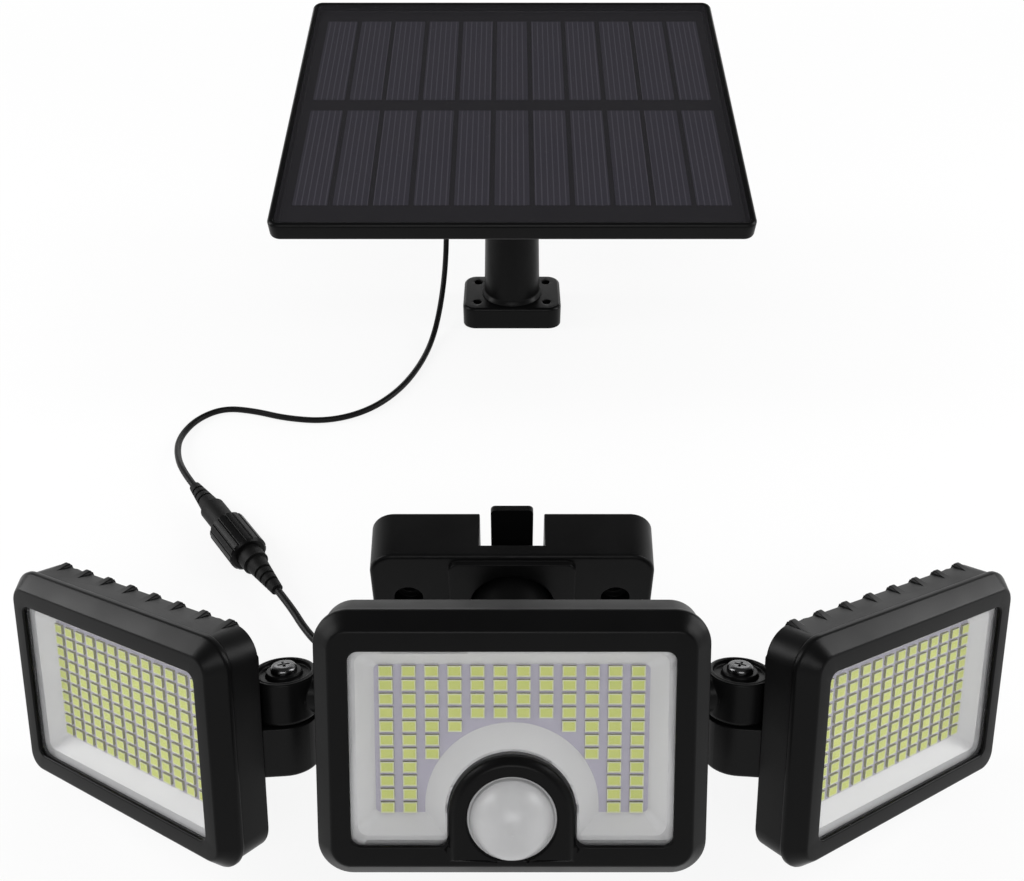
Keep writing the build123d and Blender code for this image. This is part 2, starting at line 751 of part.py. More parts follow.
def panel_frame():
    half = panel_thickness / 2
    tray = slab(panel_width, panel_length, panel_corner, -half, half)
    tray = fillet(tray.edges().group_by(Axis.Z)[0], panel_rounding)
    tray = chamfer(tray.edges().group_by(Axis.Z)[-1], panel_chamfer)
    tray -= slab(glass_width, glass_length, panel_corner / 2, glass_seat, half)
    return tray - slab(well_width, well_length, panel_corner / 2, well_floor, half)


def panel_glass():
    return slab(glass_width - 2 * glass_play, glass_length - 2 * glass_play, panel_corner / 2,
                glass_seat, glass_seat + glass_thickness)


def solar_cells():
    """Two rows of dark cells on the floor of the frame, under the glass."""
    cell_width = (well_width - 2 * cell_margin_x + cell_gap_x) / cell_columns - cell_gap_x
    rows_length = well_length - cell_margin_front - cell_margin_back
    cell_length = (rows_length + cell_gap_y) / cell_rows - cell_gap_y
    cell = Pos(0, 0, well_floor + cell_thickness / 2) * Box(cell_width, cell_length, cell_thickness)
    cells = []
    for row in range(cell_rows):
        y = -well_length / 2 + cell_margin_front + cell_length / 2 + row * (cell_length + cell_gap_y)
        for column in range(cell_columns):
            x = (column - (cell_columns - 1) / 2) * (cell_width + cell_gap_x)
            cells.append(Pos(x, y, 0) * cell)
    return Compound(children=cells)


def panel_bracket():
    """Plate under the panel with two lugs that straddle the top of the post."""
    under = -panel_thickness / 2
    plate_low = under - bracket_thickness
    plate = slab(bracket_width, bracket_length, bracket_corner, plate_low, under)
    side = Plane(origin=(0, 0, 0), x_dir=(0, 1, 0), z_dir=(1, 0, 0))
    pivot = under - panel_pivot_drop
    lug = Pos(0, pivot) * Circle(panel_hinge_radius)
    lug += Pos(0, (pivot + plate_low) / 2) * Rectangle(2 * panel_hinge_radius, plate_low - pivot)
    lug_solid = extrude(side.offset(hinge_reach - ear_thickness) * lug, ear_thickness)
    plate += lug_solid
    plate += mirror(lug_solid, about=Plane.YZ)
    plate -= at_corners(rod((0, 0, 1), head_screw_radius + screw_play, plate_low, under), *bracket_hole)
    bolt_hole = rod((1, 0, 0), tilt_bolt_radius + running_gap, -bracket_width, bracket_width)
    return plate - Pos(0, 0, pivot) * bolt_hole


def bracket_screws():
    under = -panel_thickness / 2 - bracket_thickness
    screw = rod((0, 0, 1), head_screw_head_radius, under - head_screw_head_height, under)
    screw += rod((0, 0, 1), head_screw_radius, under, -panel_thickness / 2)
    return Compound(children=at_corners(screw, *bracket_hole))


def junction_box():
    under = -panel_thickness / 2
    box = slab(box_width, box_length, box_corner, under - box_depth, under)
    return Pos(box_x, 0, 0) * fillet(box.edges().group_by(Axis.Z)[0], box_rounding)


def gland():
    """Cord gland on a wall at zero: a hexagon nut and a tapered tail."""
    nut = extrude(RegularPolygon(gland_nut_radius, 6), gland_nut_length)
    tail_end = gland_nut_length + gland_tail_length
    return nut + cone((0, 0, 1), gland_tail_root_radius, gland_tail_radius, gland_nut_length, tail_end)


# Foot and post of the panel, drawn in place


def panel_foot():
    top = table + foot_thickness
    foot = slab(foot_width, foot_length, foot_corner, table, top)
    foot = chamfer(foot.edges().group_by(Axis.Z)[-1], foot_chamfer)
    foot -= at_corners(rod((0, 0, 1), foot_hole_radius, table, top), *foot_hole)
    foot -= rod((0, 0, 1), head_screw_head_radius + screw_play, table, table + foot_thickness / 2)
    foot -= rod((0, 0, 1), head_screw_radius + screw_play, table, top)
    return Pos(0, post_y, 0) * foot


def foot_screw():
    seat = table + foot_thickness / 2
    tip = table + foot_thickness + foot_screw_bite
    screw = rod((0, 0, 1), head_screw_radius, seat, tip)
    screw += rod((0, 0, 1), head_screw_head_radius, seat - head_screw_head_height, seat)
    return Pos(0, post_y, 0) * screw


def panel_post():
    """Tapered column with a flared foot and a flat tongue for the panel's hinge."""
    low = table + foot_thickness
    flare_top = low + post_flare_height
    shoulder = panel_pivot_z - 2 * panel_hinge_radius
    post = cone((0, 0, 1), post_flare_radius, post_foot_radius, low, flare_top)
    post += cone((0, 0, 1), post_foot_radius, post_top_radius, flare_top, shoulder)
    side = Plane(origin=(0, 0, 0), x_dir=(0, 1, 0), z_dir=(1, 0, 0))
    blade_low = shoulder - panel_hinge_radius
    blade_run = panel_pivot_z - blade_low
    blade = Pos(0, panel_pivot_z) * Circle(panel_hinge_radius)
    blade += Pos(0, blade_low + blade_run / 2) * Rectangle(2 * panel_hinge_radius, blade_run)
    post += extrude(side * blade, tongue_width / 2, both=True)
    post -= rod((1, 0, 0), tilt_bolt_radius + running_gap, -tongue_width, tongue_width, (0, 0, panel_pivot_z))
    hole_end = low + foot_screw_bite + screw_end_play
    return Pos(0, post_y, 0) * (post - rod((0, 0, 1), head_screw_radius + screw_play, low, hole_end))


# Cord and connector


def cord_radii(points):
    """Bend radius at each inner point: as large as its two runs allow."""
    radii = []
    for before, here, after in zip(points, points[1:], points[2:]):
        first = Vector(*here) - Vector(*before)
        second = Vector(*after) - Vector(*here)
        half_turn = math.radians(first.get_angle(second)) / 2
        radii.append(bend_share * min(first.length, second.length) / math.tan(half_turn))
    return radii


def cord(name, points):
    radii = cord_radii(points)
    path = FilletPolyline(*points, radius=radii)
    tube = sweep(Plane(origin=path @ 0, z_dir=path % 0) * Circle(cord_radius), path=path)
    ideal = math.pi * cord_radius ** 2 * path.length
    print(name, "length", round(path.length, 1), "least radius", round(min(radii), 1),
          "volume ratio", round(tube.volume / ideal, 4))
    return tube


def plug_half():
    """One half of the connector: a ribbed, tapered strain relief and a plain round body."""
    half = cone((0, 0, 1), plug_tail_tip_radius, plug_tail_root_radius, 0, plug_tail_length)
    step = plug_tail_length / (tail_grooves + 2)
    for number in range(1, tail_grooves + 1):
        low = step * number
        high = low + tail_groove_width
        share = low / plug_tail_length
        radius = plug_tail_tip_radius + (plug_tail_root_radius - plug_tail_tip_radius) * share
        ring = rod((0, 0, 1), 2 * plug_tail_root_radius, low, high)
        half -= ring - rod((0, 0, 1), radius - tail_groove_depth, low, high)
    return half + rod((0, 0, 1), plug_body_radius, plug_tail_length, connector_length / 2)


def coupling_nut():
    low = (connector_length - nut_length) / 2 + nut_shift
    ring = rod((0, 0, 1), nut_radius, low, low + nut_length)
    ring = chamfer(ring.edges(), nut_chamfer)
    groove = rod((0, 0, 1), nut_ridge_depth, low, low + nut_length, (nut_radius, 0, 0))
    for number in range(nut_ridges):
        ring -= Rot(0, 0, 360 * number / nut_ridges) * groove
    return ring - rod((0, 0, 1), plug_body_radius + nut_play, low, low + nut_length)


# Where everything stands in the photographed pose

lean = math.radians(head_lean)
head_up = Vector(0, math.sin(lean), math.cos(lean))
head_out = Vector(0, -math.cos(lean), math.sin(lean))
tilt_pivot = Vector(0, -neck_reach, neck_height)
centre_middle = tilt_pivot + head_up * pivot_below_middle + head_out * pivot_behind_front
centre_place = Plane(origin=centre_middle, x_dir=(1, 0, 0), z_dir=head_out).location
knuckle_place = centre_place * Location((-swivel_x, 0, -swivel_behind_front), (side_tilt, 0, 0))
axis_to_head = (arm_axis_inset - head_width / 2, -arm_axis_rise, arm_axis_depth)
left_place = knuckle_place * Location((0, 0, 0), (0, -side_swivel, 0)) * Location(axis_to_head)
slope = math.radians(panel_tilt)
panel_out = Vector(0, -math.sin(slope), math.cos(slope))
panel_middle = Vector(0, panel_y, panel_z)
panel_place = Plane(origin=panel_middle, x_dir=(1, 0, 0), z_dir=panel_out).location
panel_pivot = panel_middle - panel_out * (panel_thickness / 2 + panel_pivot_drop)
post_y = panel_pivot.Y
panel_pivot_z = panel_pivot.Z
panel_gland_place = panel_place * Location((box_x, 0, -panel_thickness / 2 - box_depth), (180, 0, 0))
glass_width = panel_width - 2 * panel_frame_width
glass_length = panel_length - 2 * panel_frame_width
well_width = glass_width - 2 * glass_ledge
well_length = glass_length - 2 * glass_ledge
glass_seat = panel_thickness / 2 - glass_drop - glass_thickness
well_floor = glass_seat - cell_gap_to_glass - cell_thickness
gland_wall = base_width / 2 - base_taper / 2 * base_gland_depth / base_depth
base_gland_at = (-gland_wall, -base_gland_depth, table + base_gland_rise)
base_gland_place = Location(base_gland_at, (0, -90, 0))
battery_at = (0, -battery_middle, table + battery_rise)
circuit_x = circuit_inset - base_width / 2
circuit_z = table + circuit_rise
connector_run = Vector(*connector_end) - Vector(*connector_start)
connector_length = connector_run.length
connector_place = Plane(origin=connector_start, z_dir=connector_run).location
socket_place = connector_place * Location((0, 0, connector_length), (180, 0, 0))

# The base on its wall plate

save("wall_plate", wall_plate())
save("base_housing", base_housing())
save("battery_cell", battery_cell())
save("charge_board", charge_board())
save("back_screws", back_screws())
save("neck", neck())
save("neck_screw", neck_screw())
spigot = rod((0, 0, 1), gland_spigot_radius, -base_gland_spigot, 0)
save("base_gland", base_gland_place * (gland() + spigot))

# The centre head with its motion sensor

save("centre_rear_housing", centre_place * centre_rear_housing())
save("centre_bezel", centre_place * bezel(True))
save("centre_lens", centre_place * clear_sheet(True))
save("centre_reflector", centre_place * reflector(True))
save("centre_led_board", centre_place * led_board())
save("centre_led_chips", centre_place * led_chips(
    centre_columns, centre_rows, centre_margin_x, centre_margin_y, True))
save("centre_seal", centre_place * seal())
save("centre_screws", centre_place * head_screws())
save("sensor_dome", centre_place * sensor_dome())
save("sensor_can", centre_place * sensor_can())
save("mode_button", centre_place * mode_button())
save("mode_switch", centre_place * mode_switch())
tilt_hinge = centre_place * Pos(0, -pivot_below_middle, -pivot_behind_front)
save("tilt_bolt", tilt_hinge * hinge_bolt())
save("tilt_nut", tilt_hinge * hinge_nut())

# The two side heads, the right one a mirror image of the left

side_pieces = {
    "rear_housing": left_place * side_rear_housing(),
    "bezel": left_place * bezel(False),
    "lens": left_place * clear_sheet(False),
    "reflector": left_place * reflector(False),
    "led_board": left_place * led_board(),
    "led_chips": left_place * led_chips(side_columns, side_rows, side_margin_x, side_margin_y, False),
    "seal": left_place * seal(),
    "screws": left_place * head_screws(),
    "knuckle": knuckle_place * knuckle(),
    "arm_screw": knuckle_place * arm_screw(),
    "pivot_screw": knuckle_place * pivot_screw(),
}
for name, shape in side_pieces.items():
    save(f"left_{name}", shape)
    save(f"right_{name}", mirror(shape, about=Plane.YZ))

# The panel on its post and foot

save("panel_frame", panel_place * panel_frame())
save("panel_glass", panel_place * panel_glass())
save("solar_cells", panel_place * solar_cells())
save("panel_bracket", panel_place * panel_bracket())
save("bracket_screws", panel_place * bracket_screws())
save("panel_bolt", Pos(*panel_pivot) * (hinge_bolt() + hinge_nut()))
save("junction_box", panel_place * junction_box())
save("panel_gland", panel_gland_place * gland())
save("panel_foot", panel_foot())
save("foot_screw", foot_screw())
save("panel_post", panel_post())

# The cord and its connector

save("panel_cord", cord("panel_cord", panel_cord_route))
save("plug_body", connector_place * plug_half())
save("coupling_nut", connector_place * coupling_nut())
save("socket_body", socket_place * plug_half())
save("lamp_cord", cord("lamp_cord", lamp_cord_route))
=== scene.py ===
import math

import bmesh
import bpy
from mathutils import Matrix, Vector
from mathutils.bvhtree import BVHTree


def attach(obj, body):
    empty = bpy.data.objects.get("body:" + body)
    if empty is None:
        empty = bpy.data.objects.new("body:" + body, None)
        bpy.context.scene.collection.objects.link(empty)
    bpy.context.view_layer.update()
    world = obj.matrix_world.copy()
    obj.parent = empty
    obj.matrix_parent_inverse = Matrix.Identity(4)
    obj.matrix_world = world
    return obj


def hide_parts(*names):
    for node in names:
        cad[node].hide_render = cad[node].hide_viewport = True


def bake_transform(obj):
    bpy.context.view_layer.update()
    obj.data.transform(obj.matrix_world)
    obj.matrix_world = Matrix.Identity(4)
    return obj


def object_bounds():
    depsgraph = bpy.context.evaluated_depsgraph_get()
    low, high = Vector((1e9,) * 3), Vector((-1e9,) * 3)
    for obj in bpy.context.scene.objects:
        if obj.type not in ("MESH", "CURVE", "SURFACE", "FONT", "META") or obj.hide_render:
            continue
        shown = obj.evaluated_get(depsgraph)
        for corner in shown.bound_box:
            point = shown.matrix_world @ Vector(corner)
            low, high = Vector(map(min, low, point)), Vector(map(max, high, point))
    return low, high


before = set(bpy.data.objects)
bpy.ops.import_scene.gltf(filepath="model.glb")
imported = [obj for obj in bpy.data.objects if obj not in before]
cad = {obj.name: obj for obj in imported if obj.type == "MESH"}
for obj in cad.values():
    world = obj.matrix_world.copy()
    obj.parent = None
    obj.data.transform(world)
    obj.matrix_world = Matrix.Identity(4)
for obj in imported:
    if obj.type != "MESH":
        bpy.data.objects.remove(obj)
cad_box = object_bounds()

# Wall base: a flat plate that stays on the wall and a deep housing that hangs on it.
# Both are black moulded plastic with a fine spark-eroded grain and softly broken edges.
# Two screws from behind close the housing over the cell and the charge board.

GRAIN_SCALE = 1900.0
GRAIN_HEIGHT = 0.00006
HANDLING_SCALE = 55.0
MOTTLE_LOW = 0.3
MOTTLE_HIGH = 0.7
SHARP_ANGLE = math.radians(28)
WELD = 0.000004
STRAY_SHARE = 0.5
BASE_EDGE = 0.0004


def bare_finish(name):
    """A new finish, its node tree and its surface node."""
    finish = bpy.data.materials.new(name)
    finish.use_nodes = True
    return finish, finish.node_tree, finish.node_tree.nodes["Principled BSDF"]


def noise(tree, scale, detail):
    """Cloudy noise that is fixed to the piece."""
    place = tree.nodes.new("ShaderNodeTexCoord")
    cloud = tree.nodes.new("ShaderNodeTexNoise")
    cloud.inputs["Scale"].default_value = scale
    cloud.inputs["Detail"].default_value = detail
    tree.links.new(place.outputs["Object"], cloud.inputs["Vector"])
    return cloud.outputs["Fac"]


def two_tone(tree, share, dark, pale):
    """A colour between two tones."""
    shade = tree.nodes.new("ShaderNodeMix")
    shade.data_type = "RGBA"
    shade.inputs["A"].default_value = (*dark, 1.0)
    shade.inputs["B"].default_value = (*pale, 1.0)
    tree.links.new(share, shade.inputs["Factor"])
    return shade.outputs["Result"]


def spread(tree, value, low, high, start=0.0, stop=1.0):
    """A value between start and stop, laid out between low and high."""
    scale = tree.nodes.new("ShaderNodeMapRange")
    scale.inputs["From Min"].default_value = start
    scale.inputs["From Max"].default_value = stop
    scale.inputs["To Min"].default_value = low
    scale.inputs["To Max"].default_value = high
    tree.links.new(value, scale.inputs["Value"])
    return scale.outputs["Result"]


def moulded_plastic(name, dark, pale, smooth, rough, grain, gloss):
    """A moulding: mottled colour, uneven sheen and a fine grain in the skin."""
    finish, tree, skin = bare_finish(name)
    skin.inputs["Specular IOR Level"].default_value = gloss
    mottle = noise(tree, HANDLING_SCALE, detail=5.0)
    sparks = noise(tree, GRAIN_SCALE, detail=3.0)
    relief = tree.nodes.new("ShaderNodeBump")
    relief.inputs["Strength"].default_value = grain
    relief.inputs["Distance"].default_value = GRAIN_HEIGHT
    tree.links.new(sparks, relief.inputs["Height"])
    sheen = spread(tree, mottle, smooth, rough, MOTTLE_LOW, MOTTLE_HIGH)
    tree.links.new(two_tone(tree, mottle, dark, pale), skin.inputs["Base Color"])
    tree.links.new(sheen, skin.inputs["Roughness"])
    tree.links.new(relief.outputs["Normal"], skin.inputs["Normal"])
    return finish


def paint(node, finish):
    """Gives a CAD node its finish."""
    piece = cad[node]
    piece.data.materials.clear()
    piece.data.materials.append(finish)


def merged_copy(node):
    """A copy of a CAD node's mesh with its loose triangles joined."""
    copy = bmesh.new()
    copy.from_mesh(cad[node].data)
    bmesh.ops.remove_doubles(copy, verts=copy.verts, dist=WELD)
    return copy


def new_piece(name, shape, finishes, body):
    """Turns a bmesh into a piece that rides on a body."""
    mesh = bpy.data.meshes.new(name)
    shape.to_mesh(mesh)
    shape.free()
    for finish in finishes:
        mesh.materials.append(finish)
    piece = bpy.data.objects.new(name, mesh)
    bpy.context.scene.collection.objects.link(piece)
    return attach(piece, body)


def sharp_edges(shape):
    """The edges at which two faces meet at a clear angle."""
    return [line for line in shape.edges
            if len(line.link_faces) == 2 and line.calc_face_angle() > SHARP_ANGLE]


def softened(node, finish, body, edge):
    """Rebuilds a moulded CAD node with its sharp edges rounded, as a mould leaves them."""
    shape = merged_copy(node)
    solid = BVHTree.FromBMesh(shape)
    bmesh.ops.bevel(shape, geom=sharp_edges(shape), offset=edge, offset_type="OFFSET", segments=2,
                    profile=0.5, affect="EDGES", material=-1, loop_slide=False)
    for corner in shape.verts:
        spot, _, _, away = solid.find_nearest(corner.co)
        if away > STRAY_SHARE * edge:
            corner.co = spot
    for face in shape.faces:
        face.smooth = True
    piece = new_piece(node + "_moulding", shape, [finish], body)
    evening = piece.modifiers.new("even_shading", "WEIGHTED_NORMAL")
    evening.keep_sharp = False
    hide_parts(node)


black_moulding = moulded_plastic(
    "black_moulding", (0.0025, 0.0025, 0.0026), (0.0042, 0.0042, 0.0043),
    smooth=0.32, rough=0.44, grain=0.25, gloss=0.085)
softened("base_housing", black_moulding, "base", BASE_EDGE)
paint("wall_plate", black_moulding)

# Fasteners: plated steel screws and bolts, turned and rolled.
# They close the base and the heads and carry the tilting hinges.

PLATING_SCALE = 700.0
CLOUDED = 0.72
SHEEN_DRIFT = 0.3


def turned_steel(name, colour, rough):
    """Plated steel with a slightly cloudy plating."""
    finish, tree, skin = bare_finish(name)
    skin.inputs["Metallic"].default_value = 1.0
    cloud = noise(tree, PLATING_SCALE, detail=4.0)
    clouded = [CLOUDED * channel for channel in colour]
    wear = spread(tree, cloud, (1 - SHEEN_DRIFT) * rough, (1 + SHEEN_DRIFT) * rough)
    tree.links.new(two_tone(tree, cloud, clouded, colour), skin.inputs["Base Color"])
    tree.links.new(wear, skin.inputs["Roughness"])
    return finish


plated_steel = turned_steel("plated_steel", (0.56, 0.56, 0.57), rough=0.32)
for node in ("back_screws", "neck_screw", "tilt_bolt", "tilt_nut", "centre_screws", "left_screws",
             "right_screws", "left_arm_screw", "right_arm_screw", "bracket_screws", "panel_bolt",
             "foot_screw"):
    paint(node, plated_steel)

# Rechargeable cell and charge board: they lie in pockets behind the housing.
# The cell has a shrunk sleeve, the board a green mask; neither shows when the lamp is closed.

SKIN_DRIFT = 0.2


def plain_skin(name, dark, pale, scale, rough, gloss=0.5):
    """A plain material whose colour and sheen drift a little over the surface."""
    finish, tree, skin = bare_finish(name)
    skin.inputs["Specular IOR Level"].default_value = gloss
    drift = noise(tree, scale, detail=3.0)
    sheen = spread(tree, drift, (1 - SKIN_DRIFT) * rough, (1 + SKIN_DRIFT) * rough)
    tree.links.new(two_tone(tree, drift, dark, pale), skin.inputs["Base Color"])
    tree.links.new(sheen, skin.inputs["Roughness"])
    return finish


cell_sleeve = plain_skin(
    "cell_sleeve", (0.03, 0.09, 0.3), (0.04, 0.12, 0.36), scale=120.0, rough=0.35)
green_mask = plain_skin(
    "green_mask", (0.01, 0.09, 0.03), (0.015, 0.13, 0.05), scale=300.0, rough=0.3)
paint("battery_cell", cell_sleeve)
paint("charge_board", green_mask)

# Neck: a tapered stem screwed to the base from behind, with a flat tongue at its tip.
# It is moulded in the same black plastic, a little smoother than the base.

NECK_EDGE = 0.0004
smooth_moulding = moulded_plastic(
    "smooth_moulding", (0.0025, 0.0025, 0.0026), (0.004, 0.004, 0.0041),
    smooth=0.28, rough=0.38, grain=0.15, gloss=0.09)
softened("neck", smooth_moulding, "base", NECK_EDGE)

# Rear housings of the three heads: ribbed black boxes that carry the hinge ears or the arm.
# The ribs cool the board; the mould leaves every edge slightly round.

HEADS = ("centre", "left", "right")
RIB_EDGE = 0.00045
ribbed_moulding = moulded_plastic(
    "ribbed_moulding", (0.003, 0.003, 0.0031), (0.005, 0.005, 0.0051),
    smooth=0.32, rough=0.44, grain=0.2, gloss=0.12)
for side in HEADS:
    softened(side + "_rear_housing", ribbed_moulding, side + "_head", RIB_EDGE)

# Seal and mode button: soft black silicone rubber.
# The seal lies in a groove under the bezel; the button pokes out through the rear housing.
# Behind the button is a small switch on a green board.

black_rubber = moulded_plastic(
    "black_rubber", (0.004, 0.004, 0.004), (0.0065, 0.0065, 0.0065),
    smooth=0.5, rough=0.62, grain=0.3, gloss=0.12)
for side in HEADS:
    paint(side + "_seal", black_rubber)
paint("mode_button", black_rubber)
paint("mode_switch", green_mask)

# Light boards: aluminium-cored boards with a pale lilac solder mask.
# They lie on the ledge of the rear housing, under the reflector.

lilac_mask = plain_skin(
    "lilac_mask", (0.36, 0.342, 0.425), (0.44, 0.422, 0.505), scale=260.0, rough=0.45, gloss=0.3)
for side in HEADS:
    paint(side + "_led_board", lilac_mask)

# Light-emitting chips: small plastic boxes soldered to the board in even rows.
# Each has a pale rim and a square of yellow-green phosphor set in it; its side walls carry painted
# shade, a dark olive that stands in for the shadow between the close-set chips.

CHIP_RIM = 0.00042
CHIP_SINK = -0.00008
FRONT_SHARE = 0.9
FLAT_ANGLE = math.radians(1)
toward_viewer = Vector((0.0, -1.0, 0.35))
# The side walls' dark olive colour is painted shade for the shadow between neighbouring chips, not the
# chip's own colour.
chip_wall_painted_shade = plain_skin(
    "chip_wall_painted_shade", (0.19, 0.19, 0.08), (0.27, 0.27, 0.12), scale=400.0, rough=0.5, gloss=0.3)
chip_rim = plain_skin(
    "chip_rim", (0.56, 0.59, 0.34), (0.68, 0.7, 0.46), scale=330.0, rough=0.5, gloss=0.3)
phosphor = plain_skin(
    "phosphor", (0.48, 0.56, 0.095), (0.62, 0.65, 0.155), scale=210.0, rough=0.4, gloss=0.3)
for side in HEADS:
    chips = merged_copy(side + "_led_chips")
    bmesh.ops.dissolve_limit(chips, angle_limit=FLAT_ANGLE, use_dissolve_boundaries=False,
                             verts=chips.verts, edges=chips.edges)
    largest = max(face.calc_area() for face in chips.faces)
    fronts = [face for face in chips.faces
              if face.calc_area() > FRONT_SHARE * largest and face.normal.dot(toward_viewer) > 0]
    rims = bmesh.ops.inset_individual(chips, faces=fronts, thickness=CHIP_RIM, depth=CHIP_SINK)
    for face in rims["faces"]:
        face.material_index = 1
    for face in fronts:
        face.material_index = 2
    piece = new_piece(side + "_chip_rows", chips, [chip_wall_painted_shade, chip_rim, phosphor], side + "_head")
    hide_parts(side + "_led_chips")

# Reflectors: light grey satin trays whose sloping sides throw the light forward.
# They are moulded, with a flat flange under the clear sheet and an arch round the sensor.

grey_tray = moulded_plastic(
    "grey_tray", (0.61, 0.61, 0.615), (0.66, 0.66, 0.665),
    smooth=0.38, rough=0.5, grain=0.06, gloss=0.4)


def shade_smooth(shape):
    """Smooth shading that breaks at the sharp edges."""
    for face in shape.faces:
        face.smooth = True
    for line in sharp_edges(shape):
        line.smooth = False


for side in HEADS:
    tray = merged_copy(side + "_reflector")
    shade_smooth(tray)
    piece = new_piece(side + "_tray", tray, [grey_tray], side + "_head")
    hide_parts(side + "_reflector")

# Clear sheets: flat polycarbonate windows laid into the back of the bezels.
# They are so clear that only a faint sheen shows.

SHEET_CLOUD_SCALE = 90.0
SHEET_CLOUD = 0.92


def clear_skin(name, tint, see_through, rough, gloss):
    """A clear sheet: mostly open, with a faint tint and a cloudy sheen."""
    clouded = [SHEET_CLOUD * channel for channel in tint]
    finish = plain_skin(name, clouded, tint, SHEET_CLOUD_SCALE, rough, gloss)
    finish.node_tree.nodes["Principled BSDF"].inputs["Alpha"].default_value = see_through
    return finish


clear_sheet = clear_skin("clear_sheet", (0.8, 0.8, 0.82), see_through=0.06, rough=0.12, gloss=0.4)
for side in HEADS:
    paint(side + "_lens", clear_sheet)

# Bezels: the black front frames with wide chamfered edges; the centre one has the sensor's collar.
# They are moulded in one piece and held by four screws from behind.

BEZEL_EDGE = 0.0005
for side in HEADS:
    softened(side + "_bezel", smooth_moulding, side + "_head", BEZEL_EDGE)

# Motion sensor: a milky polyethylene dome snapped into the collar over a steel sensor can.
# The plastic is thin and scatters light, so it looks grey-white and soft.

DOME_WALL = 0.003
milky_dome = plain_skin(
    "milky_dome", (0.43, 0.43, 0.435), (0.47, 0.47, 0.475), scale=60.0, rough=0.36, gloss=0.5)
dome_skin = milky_dome.node_tree.nodes["Principled BSDF"]
dome_skin.inputs["Subsurface Weight"].default_value = 0.25
dome_skin.inputs["Subsurface Radius"].default_value = (DOME_WALL, DOME_WALL, DOME_WALL)
dome_skin.inputs["Subsurface Scale"].default_value = 1.0
paint("sensor_dome", milky_dome)
paint("sensor_can", plated_steel)

# Side arms: a round knuckle that tilts in the centre head's lug, with a swivel screw through it.
# The knuckle is black moulded plastic; the screw is dulled steel, its pan head stamped with a cross.

KNUCKLE_EDGE = 0.00045
SWIVEL_REACH = 0.064
SWIVEL_LEAN = math.radians(24.5)
SCREW_TURNS = 40
SHANK_RADIUS = 0.002
TIP_CHAMFER = 0.0004
PAN_HEAD = ((0.0037, 0.0), (0.0037, 0.0006), (0.0035, 0.0011), (0.0031, 0.0015), (0.0025, 0.0017))
CAD_HEAD_HEIGHT = 0.0022
CROSS_LENGTH = 0.0017
CROSS_WIDTH = 0.0004
CROSS_DEPTH = 0.0009
CROSS_TAPER = 0.75
swivel_axis = Vector((0.0, math.sin(SWIVEL_LEAN), math.cos(SWIVEL_LEAN)))
dulled_steel = turned_steel("dulled_steel", (0.11, 0.11, 0.112), rough=0.24)


def pan_head_screw(tip, seat):
    """A screw on the Z axis from its tip to its seat, with a pan head that has a cross recess."""
    screw = bmesh.new()
    profile = [(0.0, tip), (SHANK_RADIUS - TIP_CHAMFER, tip), (SHANK_RADIUS, tip + TIP_CHAMFER),
               (SHANK_RADIUS, seat)]
    profile += [(radius, seat + rise) for radius, rise in PAN_HEAD]
    corners = [screw.verts.new((radius, 0.0, height)) for radius, height in profile]
    lines = [screw.edges.new(pair) for pair in zip(corners, corners[1:])]
    bmesh.ops.spin(screw, geom=corners + lines, cent=(0.0, 0.0, 0.0), axis=(0.0, 0.0, 1.0),
                   angle=2 * math.pi, steps=SCREW_TURNS, use_merge=True)
    bmesh.ops.remove_doubles(screw, verts=screw.verts, dist=WELD)
    rim = [line for line in screw.edges if line.is_boundary]
    long = CROSS_LENGTH
    slim = CROSS_WIDTH
    outline = [(slim, long), (-slim, long), (-slim, slim), (-long, slim), (-long, -slim), (-slim, -slim),
               (-slim, -long), (slim, -long), (slim, -slim), (long, -slim), (long, slim), (slim, slim)]
    top = profile[-1][1]
    cross = [screw.verts.new((x, y, top)) for x, y in outline]
    edge = [screw.edges.new(pair) for pair in zip(cross, cross[1:] + cross[:1])]
    bmesh.ops.triangle_fill(screw, use_beauty=True, edges=rim + edge, normal=(0.0, 0.0, 1.0))
    wall = bmesh.ops.extrude_edge_only(screw, edges=edge)["geom"]
    sunk = [part for part in wall if isinstance(part, bmesh.types.BMVert)]
    floor_edge = [part for part in wall if isinstance(part, bmesh.types.BMEdge)]
    bmesh.ops.scale(screw, verts=sunk, vec=(CROSS_TAPER, CROSS_TAPER, 1.0))
    bmesh.ops.translate(screw, verts=sunk, vec=(0.0, 0.0, -CROSS_DEPTH))
    bmesh.ops.edgeloop_fill(screw, edges=[line for line in floor_edge if line.is_boundary])
    bmesh.ops.recalc_face_normals(screw, faces=screw.faces)
    return screw


for side, reach, turn in (("left", -SWIVEL_REACH, 0.4), ("right", SWIVEL_REACH, -0.5)):
    softened(side + "_knuckle", smooth_moulding, side + "_arm", KNUCKLE_EDGE)
    node = side + "_pivot_screw"
    stations = [corner.co.dot(swivel_axis) for corner in cad[node].data.vertices]
    across = sum((corner.co for corner in cad[node].data.vertices), Vector()) / len(stations)
    foot = Vector((reach, across.y, across.z))
    foot -= foot.dot(swivel_axis) * swivel_axis
    screw = pan_head_screw(min(stations), max(stations) - CAD_HEAD_HEIGHT)
    lean = Matrix.Rotation(-SWIVEL_LEAN, 4, "X")
    stand = Matrix.Translation(foot) @ lean @ Matrix.Rotation(turn, 4, "Z")
    bmesh.ops.transform(screw, matrix=stand, verts=screw.verts)
    shade_smooth(screw)
    piece = new_piece(side + "_swivel_screw", screw, [dulled_steel], side + "_head")
    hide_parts(node)

# Solar panel: a black moulded tray that holds two rows of dark silicon cells under glass.
# Fine pale fingers run along each cell, and the glass lies a little below the frame's rim.

